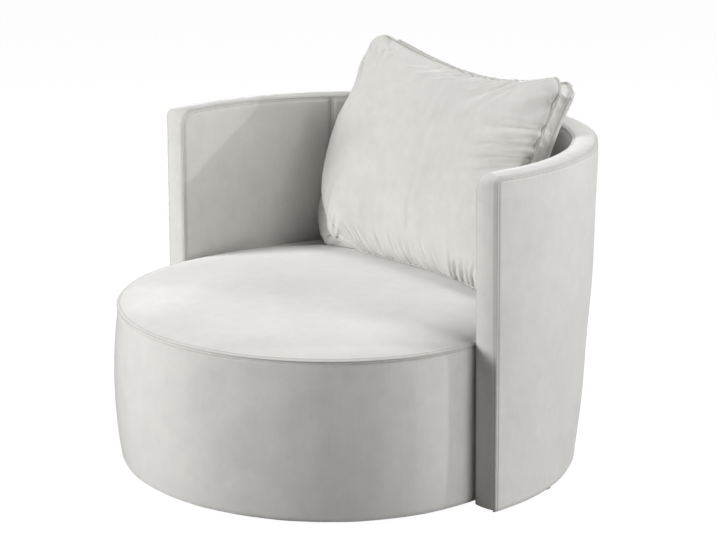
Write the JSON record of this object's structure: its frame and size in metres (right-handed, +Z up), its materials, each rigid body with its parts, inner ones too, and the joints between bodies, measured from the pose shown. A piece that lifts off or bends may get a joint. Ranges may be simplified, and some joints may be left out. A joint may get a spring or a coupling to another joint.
{
  "type": "cuddle chair",
  "caption": "Round upholstered lounge chair: a drum seat clasped by a wrap-round back of one height, with a loose boxed back cushion.",
  "frame": {"origin": "on the floor, under the middle of the chair's footprint", "axes": "+Z up; -Y is the open front of the seat; +X is to the right of someone who faces +Y, so it is the left hand of the sitter"},
  "size_m": [1.1516, 1.1814, 0.9443],
  "materials": {
    "velvet": "light warm grey cut velvet with a soft sheen",
    "foam": "pale upholstery foam and fibre under lining cloth",
    "plywood": "unfinished birch plywood",
    "webbing": "black elastic webbing with a woven rib",
    "lining": "black non-woven lining and zip tape",
    "glide": "black moulded plastic",
    "steel": "zinc-plated flat steel",
    "zip": "nickel-plated zip slider"
  },
  "bodies": {
    "chair": {"drum_base_board": "plywood", "drum_top_ring": "plywood", "drum_post_1": "plywood", "drum_post_2": "plywood", "drum_post_3": "plywood", "drum_post_4": "plywood", "drum_post_5": "plywood", "drum_post_6": "plywood", "drum_skin_board": "plywood", "drum_dust_cover": "lining", "seat_webbing_side_to_side_1": "webbing", "seat_webbing_side_to_side_2": "webbing", "seat_webbing_side_to_side_3": "webbing", "seat_webbing_side_to_side_4": "webbing", "seat_webbing_front_to_back_1": "webbing", "seat_webbing_front_to_back_2": "webbing", "seat_webbing_front_to_back_3": "webbing", "seat_webbing_front_to_back_4": "webbing", "drum_side_padding": "foam", "seat_foam": "foam", "drum_side_cover": "velvet", "seat_top_cover": "velvet", "back_rib_1": "plywood", "back_rib_2": "plywood", "back_rib_3": "plywood", "back_rib_4": "plywood", "back_rib_5": "plywood", "back_rib_6": "plywood", "back_rib_7": "plywood", "back_bottom_rail": "plywood", "back_seat_rail": "plywood", "back_top_rail": "plywood", "back_outer_board": "plywood", "back_inner_board": "plywood", "back_inner_foam": "foam", "back_outer_padding": "foam", "rim_foam": "foam", "back_outer_cover": "velvet", "inside_cover_left": "velvet", "inside_cover_centre": "velvet", "inside_cover_right": "velvet", "border_band": "velvet", "rear_infill_board": "plywood", "rear_infill_pad": "velvet", "drum_glide_1": "glide", "drum_glide_2": "glide", "drum_glide_3": "glide", "drum_glide_4": "glide", "back_glide_1": "glide", "back_glide_2": "glide", "back_glide_3": "glide", "back_glide_4": "glide", "joining_plate_1": "steel", "joining_plate_2": "steel"},
    "back_cushion": {"cushion_front_panel": "velvet", "cushion_back_panel": "velvet", "cushion_gusset": "velvet", "cushion_filling": "foam", "cushion_zip_tape": "lining"},
    "zip_slider": {"cushion_zip_slider": "zip"}
  },
  "joints": [
    {"name": "cushion_lift", "type": "slide", "parent": "chair", "child": "back_cushion", "axis": [0, 0, 1], "range_m": [0, 0.45]},
    {"name": "zip_slide", "type": "slide", "parent": "back_cushion", "child": "zip_slider", "axis": [-0.9962, 0.0872, 0], "range_m": [0, 0.26]}
  ]
}
